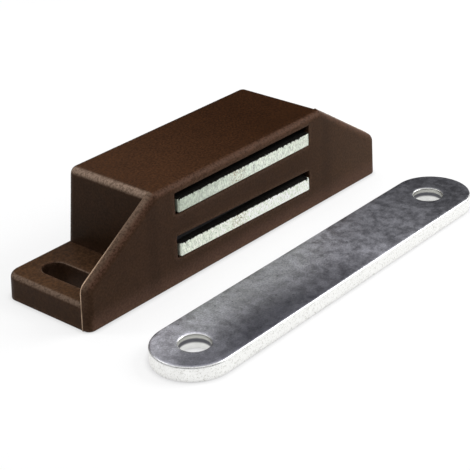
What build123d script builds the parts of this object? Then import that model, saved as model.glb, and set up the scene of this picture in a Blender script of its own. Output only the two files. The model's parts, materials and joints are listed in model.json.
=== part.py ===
from build123d import *
import os
from math import radians, tan

# Magnetic cupboard catch: a moulded housing that is screwed down through two
# slotted feet, a floating pack of two steel pole plates with a ferrite block
# between them, and the loose steel strike plate that goes on the door.
#
# Frame: millimetres, +X along the housing, -Y out of the pole face towards the
# strike plate, +Z up. The origin is the middle of the housing's flat base.

# --- Housing, outside -------------------------------------------------------
LENGTH = 60.2           # end to end of the front web, at the base
DEPTH = 15.95           # front face to rear face, at the base
FOOT_HEIGHT = 3.7       # thickness of the screw feet
WEB_THICKNESS = 1.25    # front web that braces the feet to the block
WEB_END_HEIGHT = 6.05   # height of the web at its outer ends
WEB_STEP = 0.12         # how far the web's ends stand proud of the feet
WEB_SHOULDER_RADIUS = 1.5  # between the web's upright ends and its slopes
WEB_CROWN_RADIUS = 1.0  # between its slopes and the block's top
WEB_CROWN_INSET = 0.68  # slopes' upper ends, in from the block's top ends
END_DRAFT = 2.4         # degrees, ends of the feet and web
BLOCK_DRAFT = 5.4       # degrees, ends of the block
REAR_DRAFT = 1.9        # degrees, rear face
FRONT_RADIUS = 1.05     # rounding of the front face's ends, slopes and top
FOOT_CORNER_RADIUS = 2.0   # upright rear corners of the feet
FOOT_EDGE_RADIUS = 0.85 # top outer edges of the feet
BLOCK_CORNER_RADIUS = 1.25  # upright rear corners of the block
BLOCK_EDGE_RADIUS = 1.2     # top edges of the block, apart from the front one
BASE_EDGE_RADIUS = 0.25 # lower edge of the front face

# --- Housing, walls around the pocket -----------------------------------------
FRONT_WALL = 1.2        # wall that the pole slots pass through
ROOF_WALL = 1.3         # wall over the pocket
SIDE_WALL = 1.68        # block's end walls beside the pocket, at its roof
PACK_FLOOR = 3.65       # base to the pocket's floor, where the pack rests
SLOT_RIM_RADIUS = 0.15  # outer rims of the pole slots

# --- Screw slots in the feet -------------------------------------------------
SCREW_SLOT_WIDTH = 3.4
SCREW_SLOT_INSET = 4.95 # slot's centre line from the end of the housing
SCREW_SLOT_FRONT = 3.2  # front face to the slot's front end
SCREW_SLOT_REAR = 3.1   # slot's rear end to the rear face
SCREW_SLOT_RIM_RADIUS = 0.2

# --- Magnet pack --------------------------------------------------------------
PLATE_LENGTH = 27.0
PLATE_THICKNESS = 1.9
PLATE_PROTRUSION = 0.3  # pole edges proud of the housing's front face
PLATE_CORNER_RADIUS = 0.3  # upright corners of the blanked plates
PLATE_ROLL_RADIUS = 0.2    # rolled-over lower edge left by the blanking die
MAGNET_HEIGHT = 4.72
MAGNET_END_SETBACK = 0.1   # plates' ends to the magnet's ends
MAGNET_REAR_SETBACK = 0.4  # plates' rear edge to the magnet's rear face
MAGNET_EDGE_RADIUS = 0.3
PACK_SHIFT = 0.27       # pack and pole slots, to +X of the housing's middle
PACK_RECESS = 3.25      # plates' rear edge to the housing's rear face

# --- Clearances round the pack ----------------------------------------------------
PACK_FLOAT = 0.9        # free height over each plate, in which the pack floats
PLATE_END_GAP = 0.3     # at each end of the plates
MAGNET_GAP = 0.1        # magnet's front face to the front wall
SLOT_GAP = 0.2          # under each plate, inside its pole slot

# --- Snap tongues that hold the pack in from behind ----------------------------
TONGUE_THICKNESS = 1.1
TONGUE_RELIEF = 0.95    # least room for a tongue to spring outwards
TONGUE_GAP = 0.5        # free height over and under each tongue
TONGUE_TIP = 0.45       # end of each tongue, beyond its lug
LUG_HEIGHT = 5.0
LUG_REACH = 0.75        # how far each lug stands in from its tongue
LUG_FLAT = 0.45         # length of the lug's tip
LUG_RAMP = 0.95         # length of its lead-in behind the tip
LUG_GAP = 0.15          # pack's rear edge to the lug

# --- Strike plate ---------------------------------------------------------------
STRIKE_LENGTH = 62.8
STRIKE_WIDTH = 11.0
STRIKE_THICKNESS = 2.15
STRIKE_HOLE_DIAMETER = 4.1
STRIKE_HOLE_INSET = 6.1 # holes' centres from the ends of the strike plate
STRIKE_HOLE_SHIFT = -0.4   # of both holes, along the strike plate
STRIKE_ROLL_RADIUS = 0.3   # rolled-over upper edges and rims of the holes
STRIKE_DISTANCE = 13.6  # housing's front face to the strike's middle
STRIKE_SHIFT = -0.3     # strike's middle along X
STRIKE_YAW = 1.0        # degrees, as it lies in front of the housing

# --- Places that follow from the sizes above -------------------------------------
front_y = -DEPTH / 2
rear_y = DEPTH / 2
end_slope = tan(radians(END_DRAFT))
block_slope = tan(radians(BLOCK_DRAFT))
rear_slope = tan(radians(REAR_DRAFT))

# Heights: floor, plate, magnet, plate, free height, roof.
lower_plate_z = PACK_FLOOR
magnet_z = lower_plate_z + PLATE_THICKNESS
upper_plate_z = magnet_z + MAGNET_HEIGHT
pocket_roof_z = upper_plate_z + PLATE_THICKNESS + PACK_FLOAT
pocket_height = pocket_roof_z - PACK_FLOOR
height = pocket_roof_z + ROOF_WALL

# Half lengths: pole slot, tongue, relief, side wall, then the drafted block.
slot_half = PLATE_LENGTH / 2 + PLATE_END_GAP
pocket_half = PACK_SHIFT + slot_half + TONGUE_THICKNESS + TONGUE_RELIEF
block_top_x = pocket_half + SIDE_WALL - block_slope * ROOF_WALL
block_base_x = block_top_x + block_slope * height
web_end_x = LENGTH / 2
web_shoulder_x = web_end_x - end_slope * WEB_END_HEIGHT
web_crown_x = block_top_x - WEB_CROWN_INSET
foot_end_x = web_end_x - WEB_STEP
foot_top_x = foot_end_x - end_slope * FOOT_HEIGHT

# Depths: front wall and magnet, plates, lugs behind them, ends of the tongues.
pocket_front_y = front_y + FRONT_WALL
plate_front_y = front_y - PLATE_PROTRUSION
plate_rear_y = rear_y - PACK_RECESS
magnet_front_y = pocket_front_y + MAGNET_GAP
magnet_rear_y = plate_rear_y - MAGNET_REAR_SETBACK
lug_y = plate_rear_y + LUG_GAP
lug_tip_y = lug_y + LUG_FLAT
lug_rear_y = lug_tip_y + LUG_RAMP
tongue_rear_y = lug_rear_y + TONGUE_TIP

front_plane = Plane.XZ.offset(-front_y)
NEAR = 1.0              # how close to a face an edge lies to be picked with it
FRONT_SHARE = 0.95      # most of the web's thickness that its rounding may take


def box_sketch(low, high):
    """A rectangle in the open sketch between two corner points."""
    with Locations(((low[0] + high[0]) / 2, (low[1] + high[1]) / 2)):
        Rectangle(abs(high[0] - low[0]), abs(high[1] - low[1]))


def trapezium(base_half, top_half, height):
    """Corners of a symmetric upright trapezium standing on the base line."""
    return (
        (-base_half, 0),
        (base_half, 0),
        (top_half, height),
        (-top_half, height),
    )


# --- Housing's block, which holds the magnet pack ------------------------------------
with BuildPart() as block:
    # Its ends and rear face lean in towards the top, with rounded corners.
    for level, half_length in ((0, block_base_x), (height, block_top_x)):
        with BuildSketch(Plane.XY.offset(level)) as block_plan:
            box_sketch(
                (-half_length, front_y),
                (half_length, rear_y - rear_slope * level),
            )
            rear_corners = block_plan.vertices().sort_by(Axis.Y)[-2:]
            fillet(rear_corners, radius=BLOCK_CORNER_RADIUS)
    loft(ruled=True)

    # Top edges, apart from the front one.
    block_tops = (
        block.faces()
        .sort_by(Axis.Z)[-1]
        .edges()
        .filter_by(lambda e: e.center().Y > front_y + NEAR)
    )
    fillet(block_tops, radius=BLOCK_EDGE_RADIUS)

# --- Housing: one brown moulding ---------------------------------------------------
with BuildPart() as housing:
    # Feet: a flat bar along the whole base.
    with BuildSketch(front_plane):
        Polygon(*trapezium(foot_end_x, foot_top_x, FOOT_HEIGHT), align=None)
    extrude(amount=-DEPTH)

    # Its rear face leans in a little towards the top.
    with BuildSketch(Plane.YZ.offset(-LENGTH)):
        Polygon(
            (rear_y, 0),
            (rear_y - rear_slope * height, height),
            (rear_y + DEPTH, height),
            (rear_y + DEPTH, 0),
            align=None,
        )
    extrude(amount=2 * LENGTH, mode=Mode.SUBTRACT)

    # Upright rear corners of the bar, then its top outer edges.
    foot_corners = (
        housing.faces()
        .sort_by(Axis.Y)[-1]
        .edges()
        .filter_by(lambda e: abs(e.center().X) > NEAR)
    )
    fillet(foot_corners, radius=FOOT_CORNER_RADIUS)
    foot_tops = (
        housing.faces()
        .sort_by(Axis.Z)[-1]
        .edges()
        .filter_by(lambda e: e.center().Y > front_y + NEAR)
    )
    fillet(foot_tops, radius=FOOT_EDGE_RADIUS)

    # The block stands on the bar's middle, flush at the front and rear.
    add(block)

    # Front web: upright ends, then a slope up to each end of the block's top.
    with BuildSketch(front_plane) as web:
        Polygon(
            (-web_end_x, 0),
            (web_end_x, 0),
            (web_shoulder_x, WEB_END_HEIGHT),
            (web_crown_x, height),
            (-web_crown_x, height),
            (-web_shoulder_x, WEB_END_HEIGHT),
            align=None,
        )
        web_corners = web.vertices().group_by(Axis.Y)
        fillet(web_corners[1], radius=WEB_SHOULDER_RADIUS)
        fillet(web_corners[2], radius=WEB_CROWN_RADIUS)
    extrude(amount=-WEB_THICKNESS)
    front_edges = (
        housing.faces()
        .sort_by(Axis.Y)[0]
        .edges()
        .filter_by(lambda e: e.center().Z > NEAR)
    )
    fillet(front_edges, radius=min(FRONT_RADIUS, FRONT_SHARE * WEB_THICKNESS))
    front_base_edge = housing.faces().sort_by(Axis.Y)[0].edges().sort_by(Axis.Z)[0]
    fillet(front_base_edge, radius=BASE_EDGE_RADIUS)

    # Pocket for the magnet pack, open at the rear.
    with BuildSketch(front_plane.offset(-FRONT_WALL)):
        box_sketch((-pocket_half, PACK_FLOOR), (pocket_half, pocket_roof_z))
    extrude(amount=-DEPTH, mode=Mode.SUBTRACT)

    # Two pole slots through the front wall, with a bar left between them.
    pole_slots = (
        (lower_plate_z - SLOT_GAP, magnet_z + PACK_FLOAT),
        (upper_plate_z - SLOT_GAP, pocket_roof_z),
    )
    with BuildSketch(front_plane):
        for slot_floor_z, slot_roof_z in pole_slots:
            box_sketch(
                (PACK_SHIFT - slot_half, slot_floor_z),
                (PACK_SHIFT + slot_half, slot_roof_z),
            )
    extrude(amount=-FRONT_WALL, mode=Mode.SUBTRACT)
    slot_rims = (
        housing.faces()
        .sort_by(Axis.Y)[0]
        .inner_wires()
        .edges()
    )
    fillet(slot_rims, radius=SLOT_RIM_RADIUS)

    # Snap tongues, rooted in the front wall and free all round.
    with BuildSketch(Plane.XY.offset(PACK_FLOOR + TONGUE_GAP)):
        for side in (-1, 1):
            inner_x = PACK_SHIFT + side * slot_half
            box_sketch(
                (inner_x, pocket_front_y - FRONT_WALL / 2),
                (inner_x + side * TONGUE_THICKNESS, tongue_rear_y),
            )
    extrude(amount=pocket_height - 2 * TONGUE_GAP)

    # Lugs on the tongues, square to the pack and ramped behind.
    lug_base_z = (PACK_FLOOR + pocket_roof_z - LUG_HEIGHT) / 2
    with BuildSketch(Plane.XY.offset(lug_base_z)):
        for side in (-1, 1):
            inner_x = PACK_SHIFT + side * slot_half
            root_x = inner_x + side * TONGUE_THICKNESS / 2
            tip_x = inner_x - side * LUG_REACH
            Polygon(
                (root_x, lug_y),
                (tip_x, lug_y),
                (tip_x, lug_tip_y),
                (inner_x, lug_rear_y),
                (root_x, lug_rear_y),
                align=None,
            )
    extrude(amount=LUG_HEIGHT)

    # Adjustment slots for the fixing screws, one in each foot.
    screw_slot_x = web_end_x - SCREW_SLOT_INSET
    screw_slot_front = front_y + SCREW_SLOT_FRONT
    screw_slot_rear = rear_y - SCREW_SLOT_REAR
    screw_slot_y = (screw_slot_front + screw_slot_rear) / 2
    with BuildSketch(Plane.XY):
        with Locations((-screw_slot_x, screw_slot_y), (screw_slot_x, screw_slot_y)):
            SlotOverall(
                screw_slot_rear - screw_slot_front,
                SCREW_SLOT_WIDTH,
                rotation=90,
            )
    extrude(amount=FOOT_HEIGHT, mode=Mode.SUBTRACT)
    screw_slot_rims = housing.edges(Select.LAST).group_by(Axis.Z)[-1]
    fillet(screw_slot_rims, radius=SCREW_SLOT_RIM_RADIUS)


# --- Pole plates: blanked steel, rolled over at the lower edge ----------------------
def pole_plate(floor_z):
    with BuildPart() as plate:
        with BuildSketch(Plane.XY.offset(floor_z)):
            with Locations((PACK_SHIFT, (plate_front_y + plate_rear_y) / 2)):
                RectangleRounded(
                    PLATE_LENGTH,
                    plate_rear_y - plate_front_y,
                    PLATE_CORNER_RADIUS,
                )
        extrude(amount=PLATE_THICKNESS)
        fillet(
            plate.faces().sort_by(Axis.Z)[0].edges(),
            radius=PLATE_ROLL_RADIUS,
        )
    return plate


lower_pole_plate = pole_plate(lower_plate_z)
upper_pole_plate = pole_plate(upper_plate_z)

# --- Magnet: pressed ferrite block -----------------------------------------------------
magnet_half = PLATE_LENGTH / 2 - MAGNET_END_SETBACK
with BuildPart() as magnet:
    with BuildSketch(Plane.XY.offset(magnet_z)):
        box_sketch(
            (PACK_SHIFT - magnet_half, magnet_front_y),
            (PACK_SHIFT + magnet_half, magnet_rear_y),
        )
    extrude(amount=MAGNET_HEIGHT)
    fillet(magnet.edges().filter_by(Axis.Z), radius=MAGNET_EDGE_RADIUS)

# --- Strike plate: round-ended steel strip with two screw holes -------------------------
strike_plane = Plane(
    origin=(STRIKE_SHIFT, front_y - STRIKE_DISTANCE, 0),
    z_dir=(0, 0, 1),
).rotated((0, 0, STRIKE_YAW))
with BuildPart() as strike_plate:
    with BuildSketch(strike_plane):
        SlotOverall(STRIKE_LENGTH, STRIKE_WIDTH)
        with Locations((STRIKE_HOLE_SHIFT, 0)):
            with GridLocations(STRIKE_LENGTH - 2 * STRIKE_HOLE_INSET, 0, 2, 1):
                Circle(STRIKE_HOLE_DIAMETER / 2, mode=Mode.SUBTRACT)
    extrude(amount=STRIKE_THICKNESS)
    fillet(
        strike_plate.faces().sort_by(Axis.Z)[-1].edges(),
        radius=STRIKE_ROLL_RADIUS,
    )

pieces = {
    "housing": housing,
    "lower_pole_plate": lower_pole_plate,
    "upper_pole_plate": upper_pole_plate,
    "magnet": magnet,
    "strike_plate": strike_plate,
}
os.makedirs("parts", exist_ok=True)
for name, piece in pieces.items():
    piece.part.label = name
    export_step(piece.part, f"parts/{name}.step")
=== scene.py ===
"""Looks of the magnetic catch: materials, detailed steel pieces, floor, light and camera.

Lengths are in metres in the part's own frame: +X along the housing, -Y out of the pole
face towards the strike plate, +Z up from the base."""
import json
import math

import bmesh
import bpy
from mathutils import Matrix, Vector, geometry, noise


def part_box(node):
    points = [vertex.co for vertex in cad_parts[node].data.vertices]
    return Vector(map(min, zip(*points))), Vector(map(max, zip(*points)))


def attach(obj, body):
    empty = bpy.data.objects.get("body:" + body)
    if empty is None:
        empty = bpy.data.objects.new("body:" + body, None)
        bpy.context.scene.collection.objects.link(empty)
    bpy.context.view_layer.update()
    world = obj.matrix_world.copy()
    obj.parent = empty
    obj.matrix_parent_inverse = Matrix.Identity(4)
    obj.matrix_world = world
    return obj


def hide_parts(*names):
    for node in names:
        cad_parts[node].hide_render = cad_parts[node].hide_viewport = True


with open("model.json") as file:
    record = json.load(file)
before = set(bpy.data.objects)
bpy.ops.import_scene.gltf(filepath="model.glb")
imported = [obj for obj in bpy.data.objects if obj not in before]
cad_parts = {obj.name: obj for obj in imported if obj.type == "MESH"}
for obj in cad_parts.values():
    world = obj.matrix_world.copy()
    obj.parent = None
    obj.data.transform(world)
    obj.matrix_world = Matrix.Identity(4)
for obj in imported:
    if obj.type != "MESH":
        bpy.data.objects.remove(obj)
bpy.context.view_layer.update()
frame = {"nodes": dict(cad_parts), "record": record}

MM = 0.001
FRONT_WALL = 1.2 * MM       # wall that the pole slots pass through
WEB_THICKNESS = 1.25 * MM   # front web
PACK_FLOAT = 0.9 * MM       # free height over the pole plates in their slots
SLOT_GAP = 0.2 * MM         # free height under them
PLATE_CORNER = 0.3 * MM     # corners of a pole plate, seen from above
PLATE_ROLL = 0.2 * MM       # rolled lower edge of a pole plate
CHIP_DEPTH = 0.3 * MM       # deepest chips in a pole plate's upper rim
LOWER_LEAN = 0.3 * MM       # rise of the lower pole plate's front edge at its left end
UPPER_LEAN = 0.02 * MM
ROOF_RISE = (0.45 * MM, -0.3 * MM)   # lower slot's roof, at its left and right ends
FLOOR_RISE = (0.3 * MM, -0.3 * MM)   # lower slot's floor, likewise
FLASH_RADIUS = 0.075 * MM
STRIKE_HOLES = ("strike_hole_left", "strike_hole_right")
mounts = {mount["name"]: mount for mount in frame["record"]["mounts"]}


# --- Node materials -------------------------------------------------------------------
class Shader:
    """One node tree. A socket's value is a number, a colour or another node's output."""

    def __init__(self, tree):
        self.tree = tree
        self.tree.nodes.clear()

    def node(self, kind, values=None, **settings):
        made = self.tree.nodes.new("ShaderNode" + kind)
        for key, value in settings.items():
            setattr(made, key, value)
        for key, value in (values or {}).items():
            if isinstance(value, bpy.types.NodeSocket):
                self.tree.links.new(value, made.inputs[key])
            else:
                made.inputs[key].default_value = value
        return made

    def noise(self, where, size, detail=2.0, roughness=0.5):
        """Noise from 0 to 1 whose lumps are about that size."""
        values = {
            "Vector": where,
            "Scale": 1 / size,
            "Detail": detail,
            "Roughness": roughness,
        }
        return self.node("TexNoise", values).outputs["Fac"]

    def ramp(self, value, low, high, to_low=0.0, to_high=1.0):
        """value from low..high to to_low..to_high, eased and held at the ends."""
        values = {
            "Value": value,
            "From Min": low,
            "From Max": high,
            "To Min": to_low,
            "To Max": to_high,
        }
        made = self.node("MapRange", values, interpolation_type="SMOOTHSTEP")
        return made.outputs["Result"]

    def maths(self, operation, a, b=0.0):
        made = self.node("Math", {0: a, 1: b}, operation=operation)
        return made.outputs["Value"]

    def times(self, a, b):
        return self.maths("MULTIPLY", a, b)

    def scaled(self, vector, factor):
        """Vector or colour times a number."""
        made = self.node("VectorMath", {0: vector, 3: factor}, operation="SCALE")
        return made.outputs["Vector"]

    def stretched(self, vector, factors):
        """Vector times another, axis by axis."""
        made = self.node("VectorMath", {0: vector, 1: factors}, operation="MULTIPLY")
        return made.outputs["Vector"]

    def axes(self, vector):
        """The vector's X, Y and Z, by name."""
        return self.node("SeparateXYZ", {"Vector": vector}).outputs

    def mix(self, share, a, b):
        """Colour a, with that share of colour b."""
        made = self.node("Mix", data_type="RGBA", blend_type="MIX")
        for index, value in ((0, share), (6, a), (7, b)):
            if isinstance(value, bpy.types.NodeSocket):
                self.tree.links.new(value, made.inputs[index])
            else:
                made.inputs[index].default_value = value
        return made.outputs[2]

    def bump(self, height, depth, normal=None):
        values = {"Height": height, "Distance": depth, "Strength": 1.0}
        if normal is not None:
            values["Normal"] = normal
        return self.node("Bump", values).outputs["Normal"]


def material(name):
    made = bpy.data.materials.new(name)
    made.use_nodes = True
    return made, Shader(made.node_tree)


def finish_surface(shader, values):
    surface = shader.node("BsdfPrincipled", values)
    shader.node("OutputMaterial", {"Surface": surface.outputs["BSDF"]})


def brown_shades(s, place, facing, blotch):
    """The brown, with painted light: lighter to the right end, a painted sheen on the
    block's top that deepens to the right, feet tops paler to the left, painted shade on the
    block's left end, and paler low on the front.
    """
    colour = s.mix(blotch, (0.044, 0.0225, 0.0130, 1), (0.037, 0.0190, 0.0100, 1))
    # Painted light: the brown turns lighter and a touch more olive towards the right end, as
    # if lit from the front right.
    painted_right_light = s.ramp(place["X"], 10 * MM, 27 * MM, 0, 0.55)
    colour = s.mix(painted_right_light, colour, (0.070, 0.038, 0.0215, 1))

    facing_up = s.ramp(facing["Z"], 0.8, 1)
    facing_front = s.ramp(facing["Y"], -0.8, -1)
    facing_left = s.ramp(facing["X"], -0.8, -1)
    # Painted sheen: the block's top is coloured lighter at its left and deeper to the right,
    # for the back lamp's sheen on it.
    block_top = s.times(facing_up, s.ramp(place["Z"], 10 * MM, 13 * MM))
    top = s.mix(
        s.ramp(place["X"], -16 * MM, 10 * MM),
        (0.047, 0.0195, 0.0082, 1),
        (0.026, 0.0092, 0.0026, 1),
    )
    colour = s.mix(block_top, colour, top)

    # Painted light: the feet's tops are paler towards the left end, away from the block's
    # shade.
    foot_top = s.times(facing_up, s.ramp(place["Z"], 6 * MM, 5 * MM))
    painted_foot_light = s.times(foot_top, s.ramp(place["X"], -18 * MM, -28 * MM, 0.2, 1))
    colour = s.mix(painted_foot_light, colour, (0.068, 0.033, 0.0150, 1))

    # Painted shade: the block's left end face is darker, most of all low down.
    block_end = s.times(facing_left, s.ramp(place["Z"], 4 * MM, 5 * MM))
    painted_end_shade = s.times(block_end, s.ramp(place["Z"], 5 * MM, 11 * MM, 0.55, 0.2))
    colour = s.mix(painted_end_shade, colour, (0.018, 0.0085, 0.003, 1))

    skirt = s.times(facing_front, s.ramp(place["Z"], 3.2 * MM, 0.4 * MM))
    colour = s.mix(skirt, colour, (0.075, 0.040, 0.027, 1))
    return colour, facing_front


def brown_tone(s, place, facing, facing_front, cloud, grain):
    """How much lighter or darker the brown is, in clouds, specks and two sink marks drawn as
    painted shade.
    """
    # The faint upright sink marks lie on the front, where the block's end walls meet it;
    # they are painted shade.
    end_wall = 18 * MM
    off_wall = s.maths("SUBTRACT", s.maths("ABSOLUTE", place["X"]), end_wall)
    painted_sink_shade = s.times(s.ramp(s.maths("ABSOLUTE", off_wall), 2 * MM, 0), facing_front)
    shade = s.ramp(cloud, 0.3, 0.7, 0.93, 1.07)
    speck = s.ramp(grain, 0.32, 0.68, -0.4, 0.4)
    speck = s.times(speck, s.ramp(facing["Z"], 0, 0.8, 0.5, 1))
    tone = s.times(shade, s.maths("ADD", speck, 1))
    return s.times(tone, s.ramp(painted_sink_shade, 0, 1, 1, 0.86))


def edge_wear_and_highlights(s, colour, place, facing, grain):
    """Outer edges are lighter, in grains: partly rubbed wear, partly painted highlights, the
    end edges and slopes most.
    """
    inside = s.node("AmbientOcclusion", {"Distance": 1.0 * MM}, samples=6, inside=True)
    # Rubbed wear plus a painted highlight: convex edges lighter, in grains.
    edge = s.ramp(inside.outputs["AO"], 0.93, 0.55)
    rubbed_and_highlit = s.times(edge, s.ramp(grain, 0.36, 0.62, 0.1, 0.5))
    colour = s.mix(rubbed_and_highlit, colour, (0.120, 0.070, 0.046, 1))

    # Painted highlight on the roundings that face up and out to the ends, and on the web's
    # slopes.
    painted_slant_highlight = s.times(s.maths("ABSOLUTE", facing["X"]), facing["Z"])
    painted_slant_highlight = s.maths("POWER", s.ramp(painted_slant_highlight, 0.1, 0.5), 1.7)
    web_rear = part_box("housing")[0].y + WEB_THICKNESS
    behind_web = s.ramp(place["Y"], web_rear - 0.2 * MM, web_rear, 0.4, 1)
    painted_slant_highlight = s.times(painted_slant_highlight, behind_web)
    painted_slant_highlight = s.times(painted_slant_highlight, s.ramp(grain, 0.36, 0.6, 0.45, 1))
    painted_slant_highlight = s.times(painted_slant_highlight, s.ramp(place["Z"], 9 * MM, 13 * MM, 0.48, 0.95))
    colour = s.mix(painted_slant_highlight, colour, (0.33, 0.235, 0.175, 1))

    # Painted highlight along the top front edge.
    painted_brow_highlight = s.times(s.times(facing["Y"], -1), facing["Z"])
    painted_brow_highlight = s.times(s.ramp(painted_brow_highlight, 0.2, 0.48, 0, 0.45), s.ramp(grain, 0.36, 0.6, 0.3, 1))
    return s.mix(painted_brow_highlight, colour, (0.115, 0.058, 0.040, 1))


def brown_plastic():
    made, s = material("brown_plastic")
    coords = s.node("TexCoord")
    where = coords.outputs["Object"]
    place = s.axes(where)
    facing = s.axes(coords.outputs["Normal"])
    blotch = s.noise(where, 14 * MM, 3)
    cloud = s.noise(where, 2.2 * MM, 3, 0.6)
    grain = s.noise(where, 0.32 * MM, 3, 0.7)

    colour, facing_front = brown_shades(s, place, facing, blotch)
    colour = s.scaled(colour, brown_tone(s, place, facing, facing_front, cloud, grain))
    colour = edge_wear_and_highlights(s, colour, place, facing, grain)

    rounded = s.node("Bevel", {"Radius": 0.16 * MM}, samples=6).outputs["Normal"]
    height = s.maths("ADD", grain, s.times(cloud, 0.8))
    finish_surface(
        s,
        {
            "Base Color": colour,
            "Roughness": s.ramp(s.times(grain, cloud), 0.12, 0.4, 0.36, 0.5),
            "Specular IOR Level": 0.04,
            "Specular Tint": (1.0, 0.78, 0.6, 1),
            "Normal": s.bump(height, 0.02 * MM, rounded),
        },
    )
    return made


def flash_plastic():
    """The thin flash is coloured pale, a painted highlight along it."""
    made, s = material("flash_plastic")
    where = s.node("TexCoord").outputs["Object"]
    grain = s.noise(where, 0.3 * MM, 3, 0.7)
    cloud = s.noise(where, 2.5 * MM, 2)
    height = s.axes(where)["Z"]
    colour = s.mix(grain, (0.42, 0.27, 0.17, 1), (0.74, 0.54, 0.38, 1))
    # Painted highlight: fades to the brown higher up and in clouds.
    highlight_fade = s.ramp(cloud, 0.5, 0.75, 0, 0.7)
    highlight_fade = s.maths("MAXIMUM", highlight_fade, s.ramp(height, 6 * MM, 12 * MM, 0, 0.9))
    colour = s.mix(highlight_fade, colour, (0.13, 0.08, 0.05, 1))
    finish_surface(
        s,
        {
            "Base Color": colour,
            "Roughness": s.ramp(cloud, 0.3, 0.7, 0.4, 0.6),
            "Specular IOR Level": 0.2,
            "Normal": s.bump(grain, 0.02 * MM),
        },
    )
    return made


def pole_steel():
    made, s = material("pole_steel")
    coords = s.node("TexCoord")
    where = coords.outputs["Object"]
    place = s.axes(where)
    facing = s.axes(coords.outputs["Normal"])
    cloud = s.noise(where, 1.3 * MM, 3, 0.6)
    grain = s.noise(where, 0.22 * MM, 3, 0.7)
    pits = s.noise(where, 0.16 * MM, 1)

    colour = s.mix(cloud, (0.72, 0.80, 0.68, 1), (0.92, 0.94, 0.84, 1))
    # Darker towards the left end, on the upper plate more than the lower.
    left_darkening = s.ramp(place["Z"], 7 * MM, 9 * MM, 0.4, 0.8)
    left_darkening = s.times(left_darkening, s.ramp(place["X"], 4 * MM, -12 * MM, 0, 0.8))
    colour = s.mix(left_darkening, colour, (0.38, 0.44, 0.34, 1))
    squeezed = s.stretched(where, (1, 1, 0.3))
    streaks = s.noise(squeezed, 0.13 * MM, 2, 0.6)
    tone = s.ramp(streaks, 0.34, 0.62, 0.72, 1.08)
    tone = s.times(tone, s.ramp(place["Z"], 7 * MM, 9 * MM, 1.34, 1.06))
    colour = s.scaled(colour, tone)
    colour = s.mix(s.ramp(grain, 0.42, 0.28, 0, 0.8), colour, (0.30, 0.34, 0.26, 1))
    colour = s.mix(s.ramp(pits, 0.36, 0.24, 0, 0.8), colour, (0.12, 0.13, 0.09, 1))
    near = s.maths("ABSOLUTE", s.maths("ADD", place["X"], 1.6 * MM))
    rust = s.times(s.ramp(near, 2.2 * MM, 0.4 * MM, 0, 0.7), s.ramp(pits, 0.5, 0.36))
    colour = s.mix(rust, colour, (0.33, 0.24, 0.11, 1))
    # Painted shade: the upward faces and the rim next to them, which lie in the slot's dark,
    # are near black and less metallic.
    upper = s.ramp(facing["Z"], 0.35, 0.8)
    colour = s.mix(upper, colour, (0.008, 0.007, 0.005, 1))
    height = s.maths("ADD", grain, s.times(cloud, 1.5))
    finish_surface(
        s,
        {
            "Base Color": colour,
            "Metallic": s.ramp(upper, 0, 1, 0.9, 0.6),
            "Roughness": s.ramp(grain, 0.3, 0.7, 0.66, 0.42),
            "Normal": s.bump(height, 0.03 * MM),
        },
    )
    return made


def ferrite():
    made, s = material("ferrite")
    where = s.node("TexCoord").outputs["Object"]
    grain = s.noise(where, 0.12 * MM, 2, 0.6)
    cloud = s.noise(where, 3 * MM, 3)
    colour = s.mix(cloud, (0.040, 0.040, 0.044, 1), (0.065, 0.063, 0.062, 1))
    colour = s.mix(s.ramp(grain, 0.62, 0.75), colour, (0.14, 0.14, 0.14, 1))
    finish_surface(
        s,
        {
            "Base Color": colour,
            "Metallic": 0.25,
            "Roughness": s.ramp(grain, 0.3, 0.7, 0.5, 0.75),
            "Normal": s.bump(grain, 0.03 * MM),
        },
    )
    return made


def hole_wall(s, where, place):
    """Share and colour of the holes' walls: bright low down, painted shade in a band
    above it, and light at the rim."""
    level = s.stretched(where, (1, 1, 0))
    away = []
    for name in STRIKE_HOLES:
        x, y, _ = mounts[name]["pos_m"]
        made = s.node("VectorMath", {0: level, 1: (x, y, 0)}, operation="DISTANCE")
        away.append(made.outputs["Value"])
    in_hole = s.ramp(s.maths("MINIMUM", *away), 2.35 * MM, 2.15 * MM)
    # Painted shade: the walls turn dark above 0.7 mm high, for the shade inside the holes.
    torn = s.ramp(place["Z"], 0.7 * MM, 1.05 * MM)
    wall = s.mix(torn, (0.9, 0.9, 0.88, 1), (0.13, 0.13, 0.145, 1))
    rim = s.ramp(place["Z"], 1.35 * MM, 1.6 * MM)
    return in_hole, s.mix(rim, wall, (0.66, 0.66, 0.62, 1))


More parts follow.
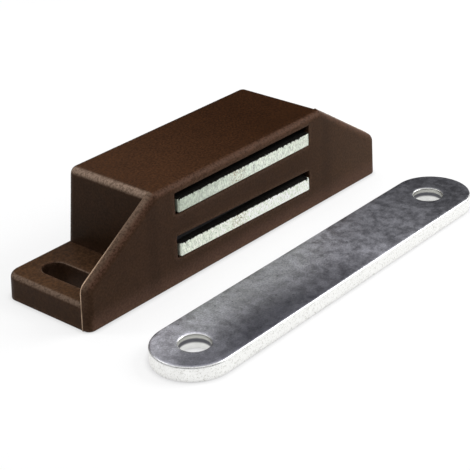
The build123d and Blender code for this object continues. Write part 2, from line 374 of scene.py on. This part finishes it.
def strike_steel():
    made, s = material("strike_steel")
    coords = s.node("TexCoord")
    where = coords.outputs["Object"]
    place = s.axes(where)
    blotch = s.noise(where, 8 * MM, 3, 0.6)
    cloud = s.noise(where, 1.3 * MM, 4, 0.7)
    grain = s.noise(where, 0.24 * MM, 3, 0.75)

    # Painted reflection: the strike's top is coloured lighter at its left end and darker to
    # the right.
    painted_shine = s.ramp(place["X"], -28 * MM, -12 * MM, 0.60, 0.34)
    for start, end, change in ((-6, 4, 0.11), (6, 12, -0.12), (12, 28, -0.17)):
        painted_shine = s.maths("ADD", painted_shine, s.ramp(place["X"], start * MM, end * MM, 0, change))
    top = s.scaled((1, 1, 1.09), painted_shine)
    # Painted reflection: darker and bluer towards the near long edge, at the left.
    painted_dark_reflection = s.times(
        s.ramp(place["X"], 14 * MM, -18 * MM),
        s.ramp(place["Y"], -19 * MM, -26 * MM, 0, 0.62),
    )
    tone = s.maths("SUBTRACT", s.ramp(blotch, 0.35, 0.65, 1.1, 0.9), painted_dark_reflection)
    tone = s.times(tone, s.ramp(cloud, 0.32, 0.68, 0.84, 1.16))
    tone = s.times(tone, s.ramp(grain, 0.3, 0.7, 0.78, 1.22))
    top = s.scaled(top, tone)
    top = s.mix(s.times(painted_dark_reflection, 0.5), top, (0.075, 0.075, 0.12, 1))
    dirt = s.ramp(s.noise(where, 0.5 * MM, 1), 0.74, 0.8, 0, 0.8)
    top = s.mix(dirt, top, (0.04, 0.04, 0.045, 1))
    edge = s.mix(s.ramp(grain, 0.5, 0.3), (0.95, 0.95, 0.93, 1), (0.62, 0.62, 0.58, 1))
    upright = s.axes(coords.outputs["Normal"])["Z"]
    side = s.ramp(s.maths("ABSOLUTE", upright), 0.95, 0.6)
    in_hole, wall = hole_wall(s, where, place)
    edge = s.mix(in_hole, edge, wall)
    height = s.maths("ADD", grain, s.times(cloud, 1.2))
    finish_surface(
        s,
        {
            "Base Color": s.mix(side, top, edge),
            "Metallic": 1.0,
            "Roughness": s.ramp(cloud, 0.3, 0.7, 0.36, 0.5),
            "Normal": s.bump(height, 0.012 * MM),
        },
    )
    return made


def white_floor():
    """Matt white. What the camera and clear reflections see is brought up to white."""
    made, s = material("white_floor")
    where = s.node("TexCoord").outputs["Object"]
    fibre = s.noise(where, 0.8 * MM, 3)
    sheet = s.noise(where, 30 * MM, 2)
    colour = s.mix(sheet, (0.90, 0.90, 0.90, 1), (0.88, 0.88, 0.885, 1))
    lit = s.node(
        "BsdfPrincipled",
        {
            "Base Color": colour,
            "Roughness": 0.9,
            "Specular IOR Level": 0.1,
            "Normal": s.bump(fibre, 0.01 * MM),
        },
    )
    # Painted contact shadow: ambient occlusion dims the floor's white where things stand on
    # it.
    painted_contact_shadow = s.node("AmbientOcclusion", {"Distance": 1.2 * MM}, samples=8).outputs["AO"]
    glow = s.ramp(painted_contact_shadow, 0.4, 0.9, 0.74, 1.0)
    white = s.node("Emission", {"Color": (1, 1, 1, 1), "Strength": glow})
    ray = s.node("LightPath").outputs
    seen = s.maths("MAXIMUM", ray["Is Camera Ray"], ray["Is Glossy Ray"])
    seen = s.maths("MAXIMUM", seen, ray["Is Transmission Ray"])
    share = s.times(seen, 0.72)
    mixed = s.node(
        "MixShader", {0: share, 1: lit.outputs["BSDF"], 2: white.outputs["Emission"]}
    )
    s.node("OutputMaterial", {"Surface": mixed.outputs["Shader"]})
    return made


# --- Meshes for the blanked steel pieces -----------------------------------------------
def outline(half_x, half_y, radius, inset, corner_steps, x_steps, y_steps):
    """Points round a rounded rectangle drawn in by inset, in the same number each time."""
    r = radius - inset
    x, y = half_x - radius, half_y - radius
    corners = ((x, -y, -90), (x, y, 0), (-x, y, 90), (-x, -y, 180))
    points = []
    for (cx, cy, start), steps in zip(corners, (y_steps, x_steps, y_steps, x_steps)):
        for step in range(corner_steps + 1):
            angle = math.radians(start + 90 * step / corner_steps)
            points.append(Vector((cx + r * math.cos(angle), cy + r * math.sin(angle), 0)))
        begin = points[-1]
        angle = math.radians(start + 90)
        turned = {90: (-x, y), 180: (-x, -y), 270: (x, -y), 0: (x, y)}[start + 90]
        end = Vector(
            (turned[0] + r * math.cos(angle), turned[1] + r * math.sin(angle), 0)
        )
        for step in range(1, steps):
            points.append(begin.lerp(end, step / steps))
    return points


def circle(centre, radius, steps):
    turn = 2 * math.pi / steps
    return [
        centre + Vector((radius * math.cos(turn * i), radius * math.sin(turn * i), 0))
        for i in range(steps)
    ]


def add_rings(mesh, loops):
    """Quads between one closed loop of points and the next. Returns the end loops' edges."""
    rings = [[mesh.verts.new(point) for point in loop] for loop in loops]
    count = len(rings[0])
    for low, high in zip(rings, rings[1:]):
        for i in range(count):
            j = (i + 1) % count
            mesh.faces.new((low[i], low[j], high[j], high[i]))
    ends = []
    for ring in (rings[0], rings[-1]):
        ends.append(
            [mesh.edges.get((ring[i], ring[(i + 1) % count])) for i in range(count)]
        )
    return ends


def object_from(mesh, name, finish, sharp=35):
    bmesh.ops.remove_doubles(mesh, verts=mesh.verts, dist=1e-7)
    bmesh.ops.recalc_face_normals(mesh, faces=mesh.faces)
    data = bpy.data.meshes.new(name)
    mesh.to_mesh(data)
    mesh.free()
    data.shade_smooth()
    data.set_sharp_from_angle(angle=math.radians(sharp))
    data.materials.append(finish)
    made = bpy.data.objects.new(name, data)
    bpy.context.scene.collection.objects.link(made)
    return made


def quarter(width, height, steps):
    """Quarter ellipse from (width, 0) to (0, height), as (inset, height) pairs."""
    pairs = []
    for step in range(steps + 1):
        angle = math.pi / 2 * step / steps
        pairs.append((width * (1 - math.sin(angle)), height * (1 - math.cos(angle))))
    return pairs


def clamp(value):
    return min(1, max(0, value))


def in_slot(y, front):
    """1 at the front face, 0 behind the front wall, and in between inside it."""
    return clamp((1 - (y - front) / FRONT_WALL) / 0.8)


def outline_direction(point, half):
    """Unit vector from a point on the plate's outline into the plate."""
    core = Vector(
        (
            max(-half.x + PLATE_CORNER, min(half.x - PLATE_CORNER, point.x)),
            max(-half.y + PLATE_CORNER, min(half.y - PLATE_CORNER, point.y)),
            0,
        )
    )
    gap = core - point
    return gap.normalized() if gap.length > 0 else Vector((0, 0, 0))


def roughness_inward(where, height, thick):
    """How far the torn zone of a sheared edge draws in at a point."""
    torn = clamp((height - 0.4 * thick) / (0.3 * thick))
    rough = noise.fractal(where / (0.22 * MM), 1, 2, 3)
    return max(0, 0.025 * MM * torn * (0.5 + rough))


def chip_depth(where, low_z, height, thick, inset):
    """How far a chip lowers a point near the plate's upper rim."""
    level = where.xy.to_3d() / (0.26 * MM) + Vector((0, 0, low_z / MM))
    chips = noise.fractal(level, 1, 2, 3)
    rim = clamp((height - 0.8 * thick) / (0.2 * thick))
    fade = clamp(1 - inset / (0.5 * MM))
    return CHIP_DEPTH * rim * fade * max(0, chips + 0.1)


def pole_plate(node, finish, lean):
    """Blanked plate: rolled lower edge, smooth shear, then a torn zone and a ragged rim.

    Its front edge slopes in the slot, up by lean at its left end and down at its right."""
    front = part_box("housing")[0].y
    low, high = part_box(node)
    middle = (low + high) / 2
    half = (high - low) / 2
    thick = high.z - low.z
    profile = [(1.6 * MM, 0), (0.8 * MM, 0)] + quarter(PLATE_ROLL, PLATE_ROLL, 6)
    rows = 14
    for row in range(1, rows + 1):
        profile.append((0, PLATE_ROLL + (thick - PLATE_ROLL - 0.02 * MM) * row / rows))
    profile += [(inset * MM, thick) for inset in (0.04, 0.28, 0.8, 1.6)]

    loops = []
    for inset, height in profile:
        loop = []
        for point in outline(half.x, half.y, PLATE_CORNER, 0, 4, 340, 60):
            inner = outline_direction(point, half)
            where = Vector((point.x, point.y, height)) + Vector((0, 0, low.z))
            draw = roughness_inward(where, height, thick) if inset == 0 else 0
            spot = middle + point + inner * inset + inner * draw
            slope = lean * (middle.x - spot.x) / half.x * in_slot(spot.y, front)
            chip = chip_depth(where, low.z, height, thick, inset)
            loop.append(Vector((spot.x, spot.y, low.z + height - chip + slope)))
        loops.append(loop)
    mesh = bmesh.new()
    for edges in add_rings(mesh, loops):
        bmesh.ops.triangle_fill(mesh, use_beauty=True, edges=edges)
    return object_from(mesh, node + "_steel", finish)


def strike_plate(node, finish):
    """Round-ended plate, with rolled upper edges and dished rims to its holes."""
    low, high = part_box(node)
    holes = [Vector(mounts[name]["pos_m"]) for name in STRIKE_HOLES]
    hole_radius = mounts[STRIKE_HOLES[0]]["dims"]["r_mm"] * MM
    along = holes[1] - holes[0]
    yaw = math.atan2(along.y, along.x)
    middle = (low + high) / 2
    size = high - low
    straight = (size.x - size.y) / (math.cos(yaw) - math.sin(yaw))
    radius = (size.x - straight * math.cos(yaw)) / 2
    thick = size.z

    profile = [(1.2 * MM, 0), (0.15 * MM, 0), (0.05 * MM, 0.05 * MM)]
    profile += [(0, 0.15 * MM + (thick - 0.5 * MM) * row / 6) for row in range(7)]
    for inset, height in reversed(quarter(0.45 * MM, 0.34 * MM, 7)[:-1]):
        profile.append((inset, thick - height))
    profile.append((1.2 * MM, thick))
    loops = []
    for inset, height in profile:
        points = outline(straight / 2 + radius, radius, radius, inset, 40, 160, 1)
        loops.append([Vector((point.x, point.y, height)) for point in points])
    mesh = bmesh.new()
    bottom, top = add_rings(mesh, loops)

    rim = [(0.9 * MM, 0), (0.1 * MM, 0), (0.02 * MM, 0.08 * MM)]
    rim += [(0, 0.2 * MM + (thick - 0.5 * MM) * row / 4) for row in range(5)]
    for inset, height in reversed(quarter(0.42 * MM, 0.26 * MM, 7)[:-1]):
        rim.append((inset, thick - height))
    rim.append((0.9 * MM, thick))
    flatten = Matrix.Rotation(-yaw, 3, "Z")
    for hole in holes:
        centre = flatten @ Vector((hole.x - middle.x, hole.y - middle.y, 0))
        loops = [
            [
                Vector((point.x, point.y, height))
                for point in circle(centre, hole_radius + outset, 96)
            ]
            for outset, height in rim
        ]
        hole_bottom, hole_top = add_rings(mesh, loops)
        bottom += hole_bottom
        top += hole_top
    bmesh.ops.triangle_fill(mesh, use_beauty=True, edges=bottom)
    bmesh.ops.triangle_fill(mesh, use_beauty=True, edges=top)
    made = object_from(mesh, node + "_steel", finish)
    made.data.transform(
        Matrix.Translation((middle.x, middle.y, low.z)) @ Matrix.Rotation(yaw, 4, "Z")
    )
    return made


def housing_shell(finish):
    """The housing, with its lower pole slot out of level as the moulding's is."""
    data = frame["nodes"]["housing"].data.copy()
    data.materials.clear()
    data.materials.append(finish)
    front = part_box("housing")[0].y
    low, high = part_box("lower_pole_plate")
    middle = (low + high) / 2
    half = (high - low) / 2
    levels = (
        (high.z + PACK_FLOAT, *ROOF_RISE),
        (low.z - SLOT_GAP, *FLOOR_RISE),
    )
    for vertex in data.vertices:
        spot = vertex.co
        in_wall = spot.y <= front + 1.05 * FRONT_WALL
        in_reach = abs(spot.x - middle.x) <= half.x + 0.6 * MM
        if not (in_wall and in_reach):
            continue
        for level, left, right in levels:
            if abs(spot.z - level) < 0.17 * MM:
                share = (spot.x - low.x) / (2 * half.x)
                vertex.co.z += left + (right - left) * share
                break
    shell = bpy.data.objects.new("housing_shell", data)
    bpy.context.scene.collection.objects.link(shell)
    return shell


def web_flash(name, shell, side, finish):
    """Fine parting flash along the rear outline of one end of the front web."""
    low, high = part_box("housing")
    rear = low.y + WEB_THICKNESS
    spots = [
        (vertex.co.x, vertex.co.z)
        for vertex in shell.data.vertices
        if abs(vertex.co.y - rear) < 0.01 * MM
    ]
    hull = [spots[i] for i in geometry.convex_hull_2d(spots)]
    rail = [Vector((x, z)) for x, z in hull if side * x > 0]
    rail.sort(key=lambda spot: spot.y)
    path = [rail[0]]
    for end in rail[1:]:
        start = path[-1]
        steps = max(1, round((end - start).length / (0.12 * MM)))
        path += [start.lerp(end, step / steps) for step in range(1, steps + 1)]
    loops = []
    for index, spot in enumerate(path):
        before, after = path[max(0, index - 1)], path[min(len(path) - 1, index + 1)]
        along = (after - before).normalized()
        out = Vector((along.y, -along.x)) * side
        rough = noise.noise(Vector((spot.x, spot.y, side)) / (0.5 * MM))
        radius = FLASH_RADIUS + 0.025 * MM * rough
        middle = spot + out * 0.01 * MM
        loop = []
        for step in range(8):
            angle = 2 * math.pi * step / 8
            flat = middle + out * radius * math.cos(angle)
            z = min(max(flat.y, low.z + 0.01 * MM), high.z - 0.02 * MM)
            loop.append(Vector((flat.x, rear + radius * math.sin(angle), z)))
        loops.append(loop)
    mesh = bmesh.new()
    for edges in add_rings(mesh, loops):
        bmesh.ops.triangle_fill(mesh, use_beauty=True, edges=edges)
    return object_from(mesh, name, finish, 80)


# --- The catch --------------------------------------------------------------------------
def dress(node, finish):
    data = frame["nodes"][node].data
    data.materials.clear()
    data.materials.append(finish)


plastic = brown_plastic()
dress("housing", plastic)
shell = housing_shell(plastic)
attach(shell, "housing")
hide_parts("housing")
for side, name in ((-1, "web_flash_left"), (1, "web_flash_right")):
    flash = web_flash(name, shell, side, flash_plastic())
    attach(flash, "housing")

dress("magnet", ferrite())

zinc = pole_steel()
for node, lean in (("lower_pole_plate", LOWER_LEAN), ("upper_pole_plate", UPPER_LEAN)):
    dress(node, zinc)
    plate = pole_plate(node, zinc, lean)
    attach(plate, "magnet_pack")
    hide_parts(node)

strike_finish = strike_steel()
dress("strike_plate", strike_finish)
strike = strike_plate("strike_plate", strike_finish)
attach(strike, "housing")
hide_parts("strike_plate")

# --- Floor, light and camera --------------------------------------------------------------
floor_mesh = bmesh.new()
bmesh.ops.create_grid(floor_mesh, x_segments=24, y_segments=24, size=3)
floor = object_from(floor_mesh, "floor", white_floor())


def softbox(name, place, target, size, radiance):
    """Square soft lamp whose face has that radiance; 1 is white."""
    lamp = bpy.data.lights.new(name, "AREA")
    lamp.shape = "SQUARE"
    lamp.size = size
    lamp.energy = radiance * math.pi * size * size
    made = bpy.data.objects.new(name, lamp)
    made.location = place
    aim = Vector(target) - Vector(place)
    made.rotation_euler = aim.to_track_quat("-Z", "Y").to_euler()
    bpy.context.scene.collection.objects.link(made)


softbox("key", (0.19, -0.15, 0.17), (0, 0, 0), 0.16, 8.0)
softbox("rear", (-0.14, 0.20, 0.24), (0, 0, 0), 0.05, 22.0)
softbox("card", (0.10, 0.20, 0.17), (0, 0, 0), 0.10, 0.8)

world = bpy.data.worlds.new("studio")
world.use_nodes = True
bpy.context.scene.world = world
sky = Shader(world.node_tree)
up = sky.node("TexCoord").outputs["Generated"]
up = sky.axes(up)["Z"]
glow = sky.mix(sky.ramp(up, 0.5, 1.0), (0.07, 0.07, 0.08, 1), (1.6, 1.6, 1.6, 1))
light = sky.node("Background", {"Color": glow, "Strength": 1.0})
sky.node("OutputWorld", {"Surface": light.outputs["Background"]})

CAMERA_PLACE = (-0.136487, -0.128619, 0.094538)
CAMERA_HEADING = -48.04
CAMERA_ELEVATION = 27.006
CAMERA_ROLL = -2.377
CAMERA_LENS = 113.97
lens = bpy.data.cameras.new("camera")
lens.sensor_width = 36
lens.lens = CAMERA_LENS
lens.clip_start = 0.01
lens.clip_end = 20
camera = bpy.data.objects.new("camera", lens)
camera.matrix_world = (
    Matrix.Translation(CAMERA_PLACE)
    @ Matrix.Rotation(math.radians(CAMERA_HEADING), 4, "Z")
    @ Matrix.Rotation(math.radians(90 - CAMERA_ELEVATION), 4, "X")
    @ Matrix.Rotation(math.radians(CAMERA_ROLL), 4, "Z")
)
bpy.context.scene.collection.objects.link(camera)
bpy.context.scene.camera = camera
bpy.context.scene.view_settings.view_transform = "Standard"
